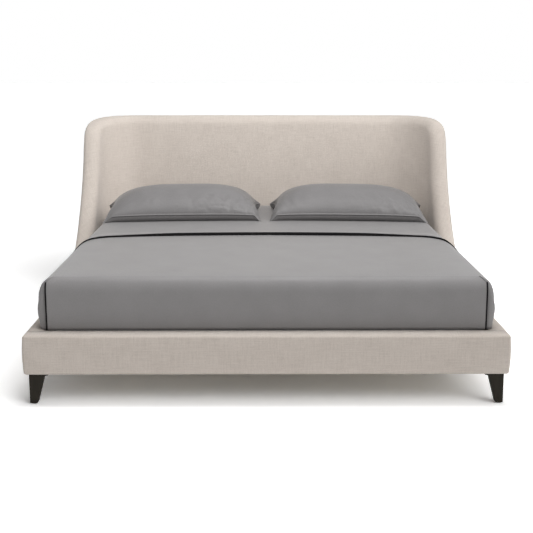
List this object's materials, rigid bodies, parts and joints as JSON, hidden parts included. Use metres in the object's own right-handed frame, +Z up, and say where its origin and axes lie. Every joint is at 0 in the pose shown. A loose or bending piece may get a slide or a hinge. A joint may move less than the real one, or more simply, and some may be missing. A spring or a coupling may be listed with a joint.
{
  "type": "sleigh bed",
  "caption": "Upholstered king bed: wrapped headboard with wings sweeping down to padded box rails, slat deck, tapered legs, mattress, coverlet and pillows.",
  "frame": {"origin": "on the floor under the centre of the bed's bounding box", "axes": "+X across the bed (the right side seen from the foot), +Y from the foot to the headboard, +Z up"},
  "size_m": [2.28, 2.3436, 1.12],
  "materials": {
    "linen_fabric": "woven linen-like upholstery, cream",
    "plywood": "bare plywood",
    "pine": "planed pine",
    "dark_wood": "dark stained, satin",
    "black_steel": "black powder coat",
    "felt_pad": "matt",
    "mattress_ticking": "white ticking",
    "grey_cotton": "smooth matt cotton",
    "steel": "zinc plated"
  },
  "bodies": {
    "frame": {"beam_bracket_foot": "black_steel", "beam_bracket_head": "black_steel", "bracket_bolts": "steel", "centre_beam": "pine", "centre_leg_1": "black_steel", "centre_leg_2": "black_steel", "centre_leg_3": "black_steel", "corner_bracket_left": "steel", "corner_bracket_right": "steel", "foot_rail": "pine", "foot_rail_padding": "linen_fabric", "glides": "felt_pad", "headboard_base_board": "plywood", "headboard_bottom_rail": "pine", "headboard_cover": "linen_fabric", "headboard_post_left": "pine", "headboard_post_right": "pine", "headboard_shell": "plywood", "headboard_top_rail": "pine", "ledger_screws": "steel", "leg_bolts": "steel", "leg_front_left": "dark_wood", "leg_front_right": "dark_wood", "leg_plates": "steel", "leg_rear_left": "dark_wood", "leg_rear_right": "dark_wood", "side_rail_left": "pine", "side_rail_padding_left": "linen_fabric", "side_rail_padding_right": "linen_fabric", "side_rail_right": "pine", "slat_01": "pine", "slat_02": "pine", "slat_03": "pine", "slat_04": "pine", "slat_05": "pine", "slat_06": "pine", "slat_07": "pine", "slat_08": "pine", "slat_09": "pine", "slat_10": "pine", "slat_11": "pine", "slat_12": "pine", "slat_ledger_left": "pine", "slat_ledger_right": "pine", "wing_block_left": "pine", "wing_block_right": "pine", "wing_bolts": "steel"},
    "mattress": {"coverlet": "grey_cotton", "fitted_sheet": "grey_cotton", "mattress": "mattress_ticking"},
    "levelling_pad_1": {"levelling_pad_1": "felt_pad"},
    "levelling_pad_2": {"levelling_pad_2": "felt_pad"},
    "levelling_pad_3": {"levelling_pad_3": "felt_pad"},
    "levelling_stem_1": {"levelling_stem_1": "steel"},
    "levelling_stem_2": {"levelling_stem_2": "steel"},
    "levelling_stem_3": {"levelling_stem_3": "steel"},
    "pillow_left": {"pillow_left": "grey_cotton"},
    "pillow_right": {"pillow_right": "grey_cotton"}
  },
  "joints": [
    {"name": "mattress_lift", "type": "slide", "parent": "frame", "child": "mattress", "axis": [0, 0, 1], "range_m": [0, 0.3]},
    {"name": "pillow_left_lift", "type": "slide", "parent": "mattress", "child": "pillow_left", "axis": [0, 0, 1], "range_m": [0, 0.25]},
    {"name": "pillow_right_lift", "type": "slide", "parent": "mattress", "child": "pillow_right", "axis": [0, 0, 1], "range_m": [0, 0.25]},
    {"name": "levelling_stem_1_turn", "type": "hinge", "parent": "levelling_pad_1", "child": "levelling_stem_1", "pos_m": [0, -0.5768, 0.03], "axis": [0, 0, 1], "range_deg": [-3168, 2304]},
    {"name": "levelling_pad_1_travel", "type": "slide", "parent": "frame", "child": "levelling_pad_1", "axis": [0, 0, 1], "range_m": [-0.01101, 0.00801]},
    {"name": "levelling_stem_2_turn", "type": "hinge", "parent": "levelling_pad_2", "child": "levelling_stem_2", "pos_m": [0, -0.0718, 0.03], "axis": [0, 0, 1], "range_deg": [-3168, 2304]},
    {"name": "levelling_pad_2_travel", "type": "slide", "parent": "frame", "child": "levelling_pad_2", "axis": [0, 0, 1], "range_m": [-0.01101, 0.00801]},
    {"name": "levelling_stem_3_turn", "type": "hinge", "parent": "levelling_pad_3", "child": "levelling_stem_3", "pos_m": [0, 0.4332, 0.03], "axis": [0, 0, 1], "range_deg": [-3168, 2304]},
    {"name": "levelling_pad_3_travel", "type": "slide", "parent": "frame", "child": "levelling_pad_3", "axis": [0, 0, 1], "range_m": [-0.01101, 0.00801]}
  ],
  "couplings": [
    {"joint": "levelling_pad_1_travel", "follows": "levelling_stem_1_turn", "m_per_rad": 0.00019894},
    {"joint": "levelling_pad_2_travel", "follows": "levelling_stem_2_turn", "m_per_rad": 0.00019894},
    {"joint": "levelling_pad_3_travel", "follows": "levelling_stem_3_turn", "m_per_rad": 0.00019894}
  ]
}
